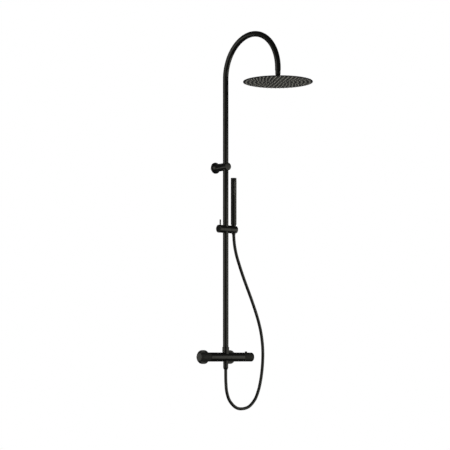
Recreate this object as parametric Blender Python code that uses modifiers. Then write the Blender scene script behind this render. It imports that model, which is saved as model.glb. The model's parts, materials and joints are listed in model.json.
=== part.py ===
"""Wall-mounted rainfall shower column, in metres, +Z up.

The wall is the plane Y = 0 and the column stands in front of it, towards -Y. The origin lies on the
wall, midway between the two water inlets, at the height of the bar valve's axis. +X is to the right
for someone who faces the wall. Every sub-part is its own object, and the pieces that move together
hang from an empty on their joint's axis.
"""

import math

import bmesh
import bpy
from mathutils import Matrix, Vector

GAP = 0.0003

# Driving dimensions
INLET_X = 0.075
BAR_Y = -0.074
BAR_RADIUS = 0.020
BODY_LEFT = 0.094
BODY_RIGHT = 0.098
BAR_END = 0.150
BUTTON_X = 0.118
TUBE_RADIUS = 0.0124
TUBE_WALL = 0.0012
RISER_BOTTOM = 0.0225
BRACKET_Z = 0.845
ARCH_Z = 1.240
ARCH_RADIUS = 0.175
ARM_END_Z = 1.230
HEAD_Y = BAR_Y - 2 * ARCH_RADIUS
HEAD_RADIUS = 0.150
PLATE_Z = 1.178
BALL_Z = 1.218
BALL_RADIUS = 0.0092
SLIDER_Z = 0.566
SLIDER_RADIUS = 0.0175
LEVER_X = -0.0313
HAND_X = 0.0463
HAND_RADIUS = 0.0128
HAND_BOTTOM = 0.588
HAND_TOP = 0.7975
HOSE_RADIUS = 0.007
HOSE_START = -0.0389
HOSE_END = 0.5705
HOSE_SPLIT = 0.455

# Sides of a turned piece, by its size
WIDE = 32
LARGE = 20
ROUND = 16
SMALL = 12
TINY = 8

# The hose hangs in the plane of the bar, from the valve's outlet round to the hand shower (X, Z)
HOSE_ROUTE = (
    (0.0000, HOSE_START),
    (0.0000, -0.072),
    (0.0010, -0.112),
    (0.0067, -0.156),
    (0.0265, -0.197),
    (0.0700, -0.2265),
    (0.1270, -0.223),
    (0.1675, -0.192),
    (0.1900, -0.1515),
    (0.2035, -0.108),
    (0.2120, -0.064),
    (0.2168, -0.019),
    (0.2178, 0.0255),
    (0.2140, 0.070),
    (0.2055, 0.115),
    (0.1925, 0.158),
    (0.1757, 0.201),
    (0.1570, 0.243),
    (0.1370, 0.285),
    (0.1165, 0.3265),
    (0.0970, 0.368),
    (0.0790, 0.410),
    (0.0627, 0.452),
    (0.0515, 0.4955),
    (0.0466, 0.540),
    (HAND_X, HOSE_END),
)


# ---------------------------------------------------------------- scene, collections and materials


def clear_scene():
    for obj in list(bpy.data.objects):
        bpy.data.objects.remove(obj, do_unlink=True)


def new_collection(name, hidden=False):
    made = bpy.data.collections.new(name)
    bpy.context.scene.collection.children.link(made)
    made.hide_render = hidden
    return made


def material(name, colour, roughness, metallic):
    made = bpy.data.materials.new(name)
    made.use_nodes = True
    shader = made.node_tree.nodes["Principled BSDF"]
    shader.inputs["Base Color"].default_value = (*colour, 1.0)
    shader.inputs["Roughness"].default_value = roughness
    shader.inputs["Metallic"].default_value = metallic
    return made


clear_scene()
PARTS = new_collection("rainfall_shower_column")
CUTTERS = new_collection("cutters", hidden=True)

BLACK = material("satin_black_coating", (0.020, 0.020, 0.019), 0.36, 0.4)
KNURL = material("matt_black_grip", (0.018, 0.018, 0.017), 0.60, 0.3)
BRASS = material("raw_brass", (0.62, 0.45, 0.18), 0.35, 1.0)
STEEL = material("stainless_steel", (0.60, 0.60, 0.58), 0.30, 1.0)
PLASTIC = material("black_plastic", (0.022, 0.022, 0.022), 0.50, 0.0)
RUBBER = material("black_rubber", (0.015, 0.015, 0.015), 0.80, 0.0)
SILICONE = material("grey_silicone", (0.110, 0.110, 0.105), 0.65, 0.0)
HOSE = material("black_hose", (0.016, 0.016, 0.016), 0.40, 0.0)


# ---------------------------------------------------------------- modelling helpers


def link(name, mesh, collection):
    obj = bpy.data.objects.new(name, mesh)
    collection.objects.link(obj)
    if collection is CUTTERS:
        obj.hide_render = True
        obj.display_type = "WIRE"
    return obj


def axis_turn(axis):
    """The rotation that takes local +Z to world +X, +Y or +Z."""
    return {
        "X": Matrix.Rotation(math.radians(90), 4, "Y"),
        "Y": Matrix.Rotation(math.radians(-90), 4, "X"),
        "Z": Matrix.Identity(4),
    }[axis]


def clockwise(profile):
    """The profile in the order that a Screw turns into outward faces: down its outer side."""
    area = 0.0
    for (r1, h1), (r2, h2) in zip(profile, profile[1:] + profile[:1]):
        area += r1 * h2 - r2 * h1
    return profile[::-1] if area > 0 else profile


def turned(name, profile, axis="Z", at=(0.0, 0.0), steps=ROUND, collection=PARTS):
    """A turned piece. The profile is (radius, height) points, closed where no end is on the axis.

    Heights are world coordinates along the axis, and `at` holds the other two, in X, Y, Z order.
    """
    points = clockwise(list(profile))
    on_axis = [i for i, (radius, _) in enumerate(points) if radius == 0.0]
    if on_axis:
        first = next(i for i in on_axis if (i - 1) % len(points) in on_axis)
        points = points[first:] + points[:first]
    mesh = bpy.data.meshes.new(name)
    form = bmesh.new()
    corners = [form.verts.new((radius, 0.0, height)) for radius, height in points]
    for a, b in zip(corners, corners[1:]):
        form.edges.new((a, b))
    if not on_axis:
        form.edges.new((corners[-1], corners[0]))
    form.to_mesh(mesh)
    form.free()
    obj = link(name, mesh, collection)
    place = {"X": (0.0, at[0], at[1]), "Y": (at[0], 0.0, at[1]), "Z": (at[0], at[1], 0.0)}[axis]
    obj.matrix_world = Matrix.Translation(place) @ axis_turn(axis)
    screw = obj.modifiers.new("turn", "SCREW")
    screw.axis = "Z"
    screw.angle = 2 * math.pi
    screw.steps = steps
    screw.render_steps = steps
    screw.use_merge_vertices = True
    screw.merge_threshold = 0.00001
    return obj


def rod(name, radius, low, high, axis="Z", at=(0.0, 0.0), steps=ROUND, collection=PARTS, edge=0.0):
    """A solid cylinder with chamfered edges."""
    if edge:
        profile = [
            (0.0, low), (radius - edge, low), (radius, low + edge),
            (radius, high - edge), (radius - edge, high), (0.0, high),
        ]
    else:
        profile = [(0.0, low), (radius, low), (radius, high), (0.0, high)]
    return turned(name, profile, axis, at, steps, collection)


def ring(name, inner, outer, low, high, axis="Z", at=(0.0, 0.0), steps=ROUND):
    """A plain ring or a straight tube."""
    profile = [(inner, low), (outer, low), (outer, high), (inner, high)]
    return turned(name, profile, axis, at, steps)


def box(name, low, high, collection=PARTS):
    mesh = bpy.data.meshes.new(name)
    form = bmesh.new()
    size = [b - a for a, b in zip(low, high)]
    middle = [(a + b) / 2 for a, b in zip(low, high)]
    bmesh.ops.create_cube(form, size=1.0, matrix=Matrix.Translation(middle) @ Matrix.Diagonal((*size, 1.0)))
    form.to_mesh(mesh)
    form.free()
    return link(name, mesh, collection)


def hexagon(name, across, low, high, axis, at, collection=PARTS):
    """A hexagonal prism, `across` wide from flat to flat."""
    mesh = bpy.data.meshes.new(name)
    form = bmesh.new()
    corner = across / 2 / math.cos(math.pi / 6)
    lift = Matrix.Translation((0.0, 0.0, (low + high) / 2))
    bmesh.ops.create_cone(
        form, cap_ends=True, segments=6, radius1=corner, radius2=corner, depth=high - low, matrix=lift
    )
    form.to_mesh(mesh)
    form.free()
    obj = link(name, mesh, collection)
    place = {"X": (0.0, at[0], at[1]), "Y": (at[0], 0.0, at[1]), "Z": (at[0], at[1], 0.0)}[axis]
    obj.matrix_world = Matrix.Translation(place) @ axis_turn(axis)
    return obj


def boolean(obj, other, operation):
    step = obj.modifiers.new(operation.lower(), "BOOLEAN")
    step.operation = operation
    step.object = other
    step.solver = "EXACT"


def cut(obj, *cutters):
    for cutter in cutters:
        boolean(obj, cutter, "DIFFERENCE")


def join(obj, *others):
    for other in others:
        boolean(obj, other, "UNION")


def hole(name, radius, low, high, axis="Z", at=(0.0, 0.0), steps=ROUND):
    """A round cutter."""
    return rod(name, radius, low, high, axis, at, steps, CUTTERS)


def evaluated_mesh(obj):
    graph = bpy.context.evaluated_depsgraph_get()
    return bpy.data.meshes.new_from_object(obj.evaluated_get(graph))


def curve_object(name, points, radius, sides_level, caps, collection=PARTS):
    """A round bar along a poly line, as a curve object."""
    line = bpy.data.curves.new(name, "CURVE")
    line.dimensions = "3D"
    line.bevel_depth = radius
    line.bevel_resolution = sides_level
    line.use_fill_caps = caps
    spline = line.splines.new("POLY")
    spline.points.add(len(points) - 1)
    for point, place in zip(spline.points, points):
        point.co = (*place, 1.0)
    return link(name, line, collection)


def curve_to_mesh(obj):
    """Replaces a curve object by the mesh it makes, with its caps welded."""
    bpy.context.view_layer.update()
    mesh = evaluated_mesh(obj)
    form = bmesh.new()
    form.from_mesh(mesh)
    bmesh.ops.remove_doubles(form, verts=form.verts, dist=0.000005)
    form.to_mesh(mesh)
    form.free()
    name = obj.name
    collection = obj.users_collection[0]
    place = obj.matrix_world.copy()
    bpy.data.objects.remove(obj, do_unlink=True)
    made = link(name, mesh, collection)
    made.matrix_world = place
    return made


def give(finish, *objects):
    for obj in objects:
        obj.data.materials.clear()
        obj.data.materials.append(finish)


def settle(objects):
    """Applies the modifiers and shades round surfaces smooth, with sharp edges kept."""
    bpy.context.view_layer.update()
    made = {obj: evaluated_mesh(obj) for obj in objects if obj.type == "MESH"}
    for obj, mesh in made.items():
        finish = obj.data.materials[0]
        obj.modifiers.clear()
        obj.data = mesh
        give(finish, obj)
        mesh.shade_smooth()
        mesh.set_sharp_from_angle(angle=math.radians(35))


def gather(name, place, *members):
    """Hangs the pieces of a moving group from an empty on its joint's axis."""
    empty = bpy.data.objects.new(name, None)
    empty.empty_display_size = 0.02
    empty.location = place
    PARTS.objects.link(empty)
    bpy.context.view_layer.update()
    for obj in members:
        obj.parent = empty
        obj.matrix_parent_inverse = empty.matrix_world.inverted()
    return empty


# ---------------------------------------------------------------- wall connection

UNION_FRONT = -0.0399
COLLAR_BACK = -0.0427
ESCUTCHEON_RADIUS = 0.0305
ESCUTCHEON_DEPTH = 0.0165


def wall_connection(side, x):
    at = (x, 0.0)
    union = turned(
        "wall_union_" + side,
        [
            (0.0065, UNION_FRONT), (0.0130, UNION_FRONT), (0.0130, -0.0135), (0.0150, -0.0135),
            (0.0150, -0.0040), (0.0104, -0.0040), (0.0104, 0.0180), (0.0065, 0.0180),
        ],
        "Y", at,
    )
    give(BLACK, union)
    cover = turned(
        "escutcheon_" + side,
        [
            (0.0135, -ESCUTCHEON_DEPTH), (ESCUTCHEON_RADIUS - 0.0008, -ESCUTCHEON_DEPTH),
            (ESCUTCHEON_RADIUS, -ESCUTCHEON_DEPTH + 0.0008), (ESCUTCHEON_RADIUS, 0.0),
            (0.0280, 0.0), (0.0280, -0.0145), (0.0135, -0.0145),
        ],
        "Y", at, LARGE,
    )
    give(BLACK, cover)
    nut = hexagon("union_nut_" + side, 0.030, -0.0505, -0.0285, "Y", at)
    rounding = turned(
        "union_nut_rounding_" + side,
        [
            (0.0, -0.0510), (0.0149, -0.0510), (0.0175, -0.0490), (0.0175, -0.0300),
            (0.0149, -0.0280), (0.0, -0.0280),
        ],
        "Y", at, ROUND, CUTTERS,
    )
    boolean(nut, rounding, "INTERSECT")
    cut(
        nut,
        hole("union_nut_thread_" + side, 0.0134, -0.0459, -0.0270, "Y", at),
        hole("union_nut_lip_" + side, 0.0099, -0.0520, -0.0440, "Y", at),
    )
    give(BLACK, nut)
    washer = ring("filter_washer_" + side, 0.0058, 0.0125, -0.0424, -0.0402, "Y", at)
    give(RUBBER, washer)


wall_connection("left", -INLET_X)
wall_connection("right", INLET_X)


# ---------------------------------------------------------------- bar valve

BORE_RADIUS = 0.0162
CARTRIDGE_RADIUS = 0.0158
CARTRIDGE_INNER = 0.032
SPINDLE_RADIUS = 0.0045
SPINDLE_END = 0.1370
HANDLE_WALL = 0.0172
CAP_RADIUS = 0.0169


def valve_body():
    bar = (BAR_Y, 0.0)
    column = (0.0, BAR_Y)
    body = rod("valve_body", BAR_RADIUS, -BODY_LEFT, BODY_RIGHT, "X", bar, LARGE, edge=0.0005)
    for side, x in (("left", -INLET_X), ("right", INLET_X)):
        tail = turned(
            "inlet_tail_" + side,
            [
                (0.0, COLLAR_BACK), (0.0120, COLLAR_BACK), (0.0120, -0.0455), (0.0095, -0.0455),
                (0.0095, -0.0660), (0.0, -0.0660),
            ],
            "Y", (x, 0.0), ROUND, CUTTERS,
        )
        join(body, tail)
    outlet = turned(
        "top_outlet",
        [
            (0.0, 0.0420), (0.0100, 0.0420), (0.0108, 0.0412), (0.0108, 0.0220), (0.0145, 0.0220),
            (0.0145, 0.0100), (0.0, 0.0100),
        ],
        "Z", column, ROUND, CUTTERS,
    )
    boss = rod("bottom_boss", 0.0115, -0.0227, -0.0100, "Z", column, ROUND, CUTTERS)
    join(body, outlet, boss)
    cut(
        body,
        hole("main_bore", BORE_RADIUS, -0.110, 0.110, "X", bar, LARGE),
        hole("inlet_bore_left", 0.0065, -0.0640, -0.0400, "Y", (-INLET_X, 0.0), SMALL),
        hole("inlet_bore_right", 0.0065, -0.0640, -0.0400, "Y", (INLET_X, 0.0), SMALL),
        hole("top_bore", 0.0070, 0.0080, 0.0450, "Z", column, SMALL),
        hole("bottom_bore", 0.0098, -0.0250, -0.0080, "Z", column, SMALL),
    )
    give(BLACK, body)


def cartridge(name, spindle_name, side, body_end):
    """A cartridge in one end of the bar, and the spindle that its handle turns."""
    bar = (BAR_Y, 0.0)
    root = CARTRIDGE_RADIUS - 0.0012
    shoulder = body_end - 0.0025
    nose = body_end + 0.0060
    outline = [
        (0.0048, CARTRIDGE_INNER), (0.0135, CARTRIDGE_INNER), (CARTRIDGE_RADIUS, 0.0345),
        (CARTRIDGE_RADIUS, 0.0480), (root, 0.0480), (root, 0.0505), (CARTRIDGE_RADIUS, 0.0505),
        (CARTRIDGE_RADIUS, shoulder), (0.0120, shoulder), (0.0120, nose), (0.0048, nose),
    ]
    body = turned(name, [(r, side * s) for r, s in outline], "X", bar)
    give(BRASS, body)
    spindle = turned(
        spindle_name,
        [
            (0.0, side * 0.0700), (SPINDLE_RADIUS, side * 0.0700), (SPINDLE_RADIUS, side * SPINDLE_END),
            (0.0021, side * SPINDLE_END), (0.0021, side * 0.1290), (0.0, side * 0.1290),
        ],
        "X", bar, SMALL,
    )
    give(BRASS, spindle)
    return spindle


def handle(name, cap_name, screw_name, side, body_end):
    """A cup-shaped end handle with a hub on the spindle, its screw and the cap over the screw."""
    bar = (BAR_Y, 0.0)
    start = body_end + 0.0005
    web = 0.1350
    seat = 0.1440
    outline = [
        (HANDLE_WALL, start), (BAR_RADIUS - 0.0004, start), (BAR_RADIUS, start + 0.0004),
        (BAR_RADIUS, BAR_END - 0.0012), (BAR_RADIUS - 0.0004, BAR_END - 0.0004),
        (BAR_RADIUS - 0.0012, BAR_END), (HANDLE_WALL, BAR_END), (HANDLE_WALL, seat), (0.0022, seat),
        (0.0022, 0.1385), (0.0049, 0.1385), (0.0049, 0.1120), (0.0090, 0.1120), (0.0090, web),
        (HANDLE_WALL, web),
    ]
    grip = turned(name, [(r, side * s) for r, s in outline], "X", bar, LARGE)
    give(KNURL, grip)
    low, high = sorted((side * 0.1475, side * BAR_END))
    cap = rod(cap_name, CAP_RADIUS, low, high, "X", bar, LARGE, edge=0.0003)
    give(BLACK, cap)
    screw = turned(
        screw_name,
        [
            (0.0, side * 0.1466), (0.0036, side * 0.1466), (0.0036, side * 0.1443),
            (0.0018, side * 0.1443), (0.0018, side * 0.1300), (0.0, side * 0.1300),
        ],
        "X", bar, TINY,
    )
    give(STEEL, screw)
    return grip, cap, screw


def safety_button():
    at = (BUTTON_X, BAR_Y)
    button = turned(
        "safety_button",
        [
            (0.0, 0.0250), (0.0040, 0.0250), (0.0047, 0.0246), (0.0049, 0.0240), (0.0049, 0.0155),
            (0.0062, 0.0155), (0.0062, 0.0140), (0.0, 0.0140),
        ],
        "Z", at, SMALL,
    )
    give(PLASTIC, button)
    return button


def button_spring():
    turns, per_turn, radius, low, high = 3, 8, 0.0035, 0.0098, 0.0133
    points = []
    for i in range(turns * per_turn + 1):
        share = i / (turns * per_turn)
        angle = 2 * math.pi * turns * share
        points.append(
            (
                BUTTON_X + radius * math.cos(angle),
                BAR_Y + radius * math.sin(angle),
                low + (high - low) * share,
            )
        )
    spring = curve_to_mesh(curve_object("button_spring", points, 0.0004, 1, True))
    give(STEEL, spring)
    return spring


valve_body()
thermostat_spindle = cartridge("thermostat_cartridge", "thermostat_spindle", 1, BODY_RIGHT)
diverter_spindle = cartridge("diverter_cartridge", "diverter_spindle", -1, BODY_LEFT)
temperature = handle("temperature_handle", "temperature_cap", "temperature_screw", 1, BODY_RIGHT)
flow = handle("flow_handle", "flow_cap", "flow_screw", -1, BODY_LEFT)
cut(temperature[0], hole("button_hole", 0.0053, 0.0130, 0.0230, "Z", (BUTTON_X, BAR_Y), SMALL))
button = safety_button()
spring = button_spring()


# ---------------------------------------------------------------- riser, gooseneck and wall bracket


def riser():
    column = (0.0, BAR_Y)
    inner = TUBE_RADIUS - TUBE_WALL
    nut = turned(
        "riser_nut",
        [
            (0.0128, 0.0223), (0.0150, 0.0223), (0.0150, 0.0435), (0.0142, 0.0445), (0.0128, 0.0445),
        ],
        "Z", column,
    )
    pipe = ring("riser_pipe", inner, TUBE_RADIUS, RISER_BOTTOM, BRACKET_Z - GAP / 2, "Z", column)
    give(BLACK, nut, pipe)
    sleeve = ring("joint_sleeve", 0.0095, 0.0108, BRACKET_Z - 0.040, BRACKET_Z + 0.040, "Z", column, SMALL)
    give(BRASS, sleeve)


def gooseneck():
    """A tube that rises from the bracket, turns over in a half circle and comes down to the head."""
    points = [(0.0, BAR_Y, BRACKET_Z + GAP / 2)]
    bends = 16
    for i in range(bends + 1):
        angle = math.pi * i / bends
        y = BAR_Y - ARCH_RADIUS + ARCH_RADIUS * math.cos(angle)
        points.append((0.0, y, ARCH_Z + ARCH_RADIUS * math.sin(angle)))
    points.append((0.0, HEAD_Y, ARM_END_Z))
    tube = curve_to_mesh(curve_object("gooseneck", points, TUBE_RADIUS, 6, False))
    shell = tube.modifiers.new("wall", "SOLIDIFY")
    shell.thickness = TUBE_WALL
    shell.offset = -1.0
    shell.use_rim = True
    give(BLACK, tube)


def bracket():
    at = (0.0, BRACKET_Z)
    plate = turned(
        "bracket_wall_plate",
        [
            (0.0028, 0.0), (0.0190, 0.0), (0.0190, -0.0030), (0.0075, -0.0030), (0.0075, -0.0400),
            (0.0053, -0.0400), (0.0053, -0.0330), (0.0028, -0.0330),
        ],
        "Y", at, SMALL,
    )
    screw = turned(
        "bracket_wall_screw",
        [
            (0.0, -0.0360), (0.0048, -0.0360), (0.0048, -0.0333), (0.0024, -0.0333), (0.0024, 0.0300),
            (0.0, 0.0350),
        ],
        "Y", at, TINY,
    )
    give(STEEL, plate, screw)
    flange = turned(
        "bracket_flange",
        [
            (0.0078, -0.0222), (0.0172, -0.0222), (0.0176, -0.0185), (0.0187, -0.0145),
            (0.0206, -0.0105), (0.0230, -0.0072), (0.0250, -0.0055), (0.0250, 0.0), (0.0205, 0.0),
            (0.0205, -0.0040), (0.0140, -0.0190), (0.0078, -0.0190),
        ],
        "Y", at, LARGE,
    )
    arm = turned(
        "bracket_arm",
        [
            (0.0, -0.0405), (0.0078, -0.0405), (0.0078, -0.0225), (0.0168, -0.0225),
            (0.0172, -0.0229), (0.0172, -0.0881), (0.0168, -0.0885), (0.0, -0.0885),
        ],
        "Y", at, LARGE,
    )
    low = BRACKET_Z - 0.030
    high = BRACKET_Z + 0.030
    cut(
        arm,
        hole("bracket_pipe_hole", TUBE_RADIUS + GAP, low, high, "Z", (0.0, BAR_Y)),
        hole("bracket_grub_hole", 0.0026, low, BRACKET_Z - 0.0060, "Z", (0.0, -0.0320), TINY),
    )
    cap = rod("bracket_cap", 0.0170, -0.0915, -0.0888, "Y", at, LARGE, edge=0.0005)
    give(BLACK, flange, arm, cap)
    grub_low, grub_high = BRACKET_Z - 0.0170, BRACKET_Z - 0.0079
    grub = rod("bracket_grub_screw", 0.0023, grub_low, grub_high, "Z", (0.0, -0.0320), TINY)
    give(STEEL, grub)


riser()
gooseneck()
bracket()


# ---------------------------------------------------------------- slider, lock and hand shower holder


def slider():
    at = (BAR_Y, SLIDER_Z)
    column = (0.0, BAR_Y)
    low = SLIDER_Z - 0.030
    high = SLIDER_Z + 0.030
    body = rod("slider_body", SLIDER_RADIUS, -0.0245, 0.0203, "X", at, LARGE, edge=0.0003)
    cut(
        body,
        hole("slider_riser_hole", 0.0146, low, high, "Z", column),
        hole("slider_brake_hole", 0.0045, -0.0280, -0.0100, "X", at, SMALL),
        hole("slider_pivot_hole", 0.0043, 0.0120, 0.0230, "X", at, SMALL),
        hole("slider_pivot_recess", 0.0064, 0.0100, 0.0167, "X", at, SMALL),
    )
    give(BLACK, body)
    bush = ring("slider_bush", 0.0127, 0.0143, SLIDER_Z - 0.0092, SLIDER_Z + 0.0092, "Z", column)
    cut(bush, hole("bush_brake_hole", 0.0047, -0.0200, -0.0080, "X", at, SMALL))
    pad = rod("brake_pad", 0.0041, -0.0195, -0.0130, "X", at, SMALL)
    give(PLASTIC, bush, pad)
    pivot = turned(
        "pivot_screw",
        [
            (0.0, 0.0150), (0.0060, 0.0150), (0.0060, 0.0163), (0.0039, 0.0163), (0.0039, 0.0335),
            (0.0, 0.0335),
        ],
        "X", at, SMALL,
    )
    give(STEEL, pivot)
    washer = ring("pivot_washer", 0.0046, 0.0170, 0.0206, 0.0211, "X", at)
    give(PLASTIC, washer)
    return body, bush, pad, pivot, washer


def lock():
    at = (BAR_Y, SLIDER_Z)
    top = SLIDER_Z + SLIDER_RADIUS
    knob = turned(
        "lock_knob",
        [
            (0.0, -0.0403), (0.0043, -0.0403), (0.0043, -0.0248), (0.0172, -0.0248),
            (SLIDER_RADIUS, -0.0251), (SLIDER_RADIUS, -0.0408), (0.0171, -0.0416), (0.0163, -0.0420),
            (0.0, -0.0420),
        ],
        "X", at, LARGE,
    )
    cut(knob, hole("lever_hole", 0.0034, top - 0.0075, top + 0.0050, "Z", (LEVER_X, BAR_Y), SMALL))
    stud = rod("lock_screw", 0.0040, -0.0400, -0.0198, "X", at, SMALL)
    give(STEEL, stud)
    pin = turned(
        "lever_pin",
        [
            (0.0, top - 0.0070), (0.0031, top - 0.0070), (0.0031, top + 0.0225), (0.0026, top + 0.0236),
            (0.0015, top + 0.0240), (0.0, top + 0.0240),
        ],
        "Z", (LEVER_X, BAR_Y), SMALL,
    )
    give(BLACK, knob, pin)
    return knob, stud, pin


def holder():
    """The holder turns on the slider's pivot and carries the hose's cone in a tapered, slotted hole."""
    at = (BAR_Y, SLIDER_Z)
    cup = turned(
        "holder_cup",
        [
            (0.0, 0.0340), (0.0042, 0.0340), (0.0042, 0.0214), (0.0172, 0.0214),
            (SLIDER_RADIUS, 0.0217), (SLIDER_RADIUS, 0.0573), (0.0171, 0.0581), (0.0163, 0.0585),
            (0.0, 0.0585),
        ],
        "X", at, LARGE,
    )
    taper = 0.0010 / SLIDER_RADIUS
    reach = 0.0250
    cone = turned(
        "holder_cone",
        [
            (0.0, SLIDER_Z - reach), (0.0102 - taper * reach, SLIDER_Z - reach),
            (0.0102 + taper * reach, SLIDER_Z + reach), (0.0, SLIDER_Z + reach),
        ],
        "Z", (HAND_X, BAR_Y), ROUND, CUTTERS,
    )
    slot = box(
        "holder_slot",
        (HAND_X, BAR_Y - 0.0076, SLIDER_Z - reach),
        (HAND_X + 0.030, BAR_Y + 0.0076, SLIDER_Z + reach),
        CUTTERS,
    )
    cut(cup, cone, slot)
    give(BLACK, cup)
    return cup


slider_pieces = slider()
lock_pieces = lock()
holder_cup = holder()


# ---------------------------------------------------------------- hand shower

WINDOW_LOW = 0.7180
WINDOW_HIGH = 0.7850
WINDOW_HALF = 0.0071


def spray_insert():
    """A tube inside the stick with a pad that fills the window and rows of small nozzles on it."""
    at = (HAND_X, BAR_Y)
    insert = ring("spray_insert", 0.0088, 0.0112, WINDOW_LOW - 0.003, WINDOW_HIGH + 0.003, "Z", at)
    half = WINDOW_HALF - GAP
    pad = rod("spray_pad", HAND_RADIUS - 0.0001, WINDOW_LOW + GAP, WINDOW_HIGH - GAP, "Z", at, ROUND, CUTTERS)
    front = box(
        "spray_front",
        (HAND_X - half, BAR_Y - 0.020, WINDOW_LOW - 0.010),
        (HAND_X + half, BAR_Y - 0.0095, WINDOW_HIGH + 0.010),
        CUTTERS,
    )
    boolean(pad, front, "INTERSECT")
    join(insert, pad)
    mesh = bpy.data.meshes.new("spray_nozzles")
    form = bmesh.new()
    rows, pitch = 13, 0.0051
    columns, spread = 4, math.radians(18)
    middle = (WINDOW_LOW + WINDOW_HIGH) / 2
    lay = Matrix.Translation((0.0, -0.0126, 0.0)) @ Matrix.Rotation(math.radians(90), 4, "X")
    for row in range(rows):
        centre = Matrix.Translation((HAND_X, BAR_Y, middle + (row - (rows - 1) / 2) * pitch))
        for column in range(columns):
            turn = Matrix.Rotation((column - (columns - 1) / 2) * spread, 4, "Z")
            bmesh.ops.create_cone(
                form, cap_ends=True, segments=6, radius1=0.0011, radius2=0.0007, depth=0.0030,
                matrix=centre @ turn @ lay,
            )
    form.to_mesh(mesh)
    form.free()
    nozzles = link("spray_nozzles", mesh, CUTTERS)
    join(insert, nozzles)
    give(PLASTIC, insert)
    return insert


def hand_shower():
    at = (HAND_X, BAR_Y)
    inner = HAND_RADIUS - 0.0012
    tube = ring("hand_tube", inner, HAND_RADIUS, HAND_BOTTOM, HAND_TOP - 0.0037, "Z", at)
    window = box(
        "hand_window",
        (HAND_X - WINDOW_HALF, BAR_Y - 0.020, WINDOW_LOW),
        (HAND_X + WINDOW_HALF, BAR_Y - 0.0060, WINDOW_HIGH),
        CUTTERS,
    )
    cut(tube, window)
    cap = turned(
        "hand_cap",
        [
            (0.0, HAND_TOP), (HAND_RADIUS - 0.0006, HAND_TOP), (HAND_RADIUS, HAND_TOP - 0.0006),
            (HAND_RADIUS, HAND_TOP - 0.0034), (inner - 0.0004, HAND_TOP - 0.0034),
            (inner - 0.0004, HAND_TOP - 0.0090), (0.0, HAND_TOP - 0.0090),
        ],
        "Z", at,
    )
    give(BLACK, tube, cap)
    inlet = turned(
        "hand_inlet",
        [
            (0.0050, 0.6000), (0.0112, 0.6000), (0.0112, HAND_BOTTOM), (0.0096, HAND_BOTTOM),
            (0.0096, 0.5738), (0.0050, 0.5738),
        ],
        "Z", at, SMALL,
    )
    give(BRASS, inlet)
    cone = turned(
        "hose_nut_upper",
        [
            (0.0099, 0.5876), (0.0108, 0.5876), (0.0086, 0.5445), (0.0073, 0.5445), (0.0073, 0.5710),
            (0.0099, 0.5710),
        ],
        "Z", at,
    )
    give(BLACK, cone)
    washer = ring("hose_washer_upper", 0.0056, 0.0095, 0.5713, 0.5735, "Z", at, SMALL)
    give(RUBBER, washer)
    return tube, cap, spray_insert(), inlet, cone, washer


hand_pieces = hand_shower()


# ---------------------------------------------------------------- hose


def smooth_line(points, per_span):
    """Points on a Catmull-Rom curve that runs through the given ones."""
    places = [Vector(p) for p in points]
    places = [2 * places[0] - places[1], *places, 2 * places[-1] - places[-2]]
    line = []
    for a, b, c, d in zip(places, places[1:], places[2:], places[3:]):
        for i in range(per_span):
            t = i / per_span
            square, cube = 2 * a - 5 * b + 4 * c - d, 3 * b - a - 3 * c + d
            line.append(0.5 * (2 * b + (c - a) * t + square * t**2 + cube * t**3))
    line.append(places[-2])
    return line


def along(line, distance):
    """The point that lies this far along a line."""
    for a, b in zip(line, line[1:]):
        step = (b - a).length
        if distance <= step:
            return a.lerp(b, distance / step)
        distance -= step
    return line[-1]


def line_length(line):
    return sum((b - a).length for a, b in zip(line, line[1:]))


def even_points(line, spacing):
    """Points on a line, about `spacing` apart, with both its ends."""
    total = line_length(line)
    count = max(3, round(total / spacing))
    return [along(line, total * i / count) for i in range(count + 1)]


def hose_stretch(name, points):
    tube = curve_to_mesh(curve_object(name, points, HOSE_RADIUS, 2, True))
    give(HOSE, tube)
    return tube


def hose():
    column = (0.0, BAR_Y)
    nipple = ring("hose_nipple", 0.0055, 0.0095, -0.0360, -0.0165, "Z", column, SMALL)
    give(BRASS, nipple)
    washer = ring("hose_washer_lower", 0.0056, 0.0095, -0.0383, -0.0363, "Z", column, SMALL)
    give(RUBBER, washer)
    nut = turned(
        "hose_nut_lower",
        [
            (0.0099, -0.0230), (0.0108, -0.0230), (0.0112, -0.0234), (0.0112, -0.0475),
            (0.0102, -0.0510), (0.0086, -0.0545), (0.0073, -0.0545), (0.0073, -0.0386),
            (0.0099, -0.0386),
        ],
        "Z", column,
    )
    give(BLACK, nut)
    whole = smooth_line([(x, BAR_Y, z) for x, z in HOSE_ROUTE], 12)
    split = next(i for i, p in enumerate(whole) if p.z > HOSE_SPLIT and i > len(whole) / 2)
    way = (whole[split + 1] - whole[split - 1]).normalized()
    middle = whole[split]
    lower = [*whole[: split - 2], middle - way * HOSE_RADIUS]
    upper = [middle + way * HOSE_RADIUS, *whole[split + 3 :]]
    hose_stretch("hose", [*even_points(lower, 0.030), middle - way * GAP / 2])
    return hose_stretch("hose_top", [middle + way * GAP / 2, *even_points(upper, 0.020)])


hose_top = hose()


# ---------------------------------------------------------------- rain head


def arc(radius, centre_z, start, end, count):
    """Profile points on a sphere round the column's axis, from one latitude to another, in degrees."""
    found = []
    for i in range(count + 1):
        angle = math.radians(start + (end - start) * i / count)
        found.append((radius * math.cos(angle), centre_z + radius * math.sin(angle)))
    return found


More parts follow.
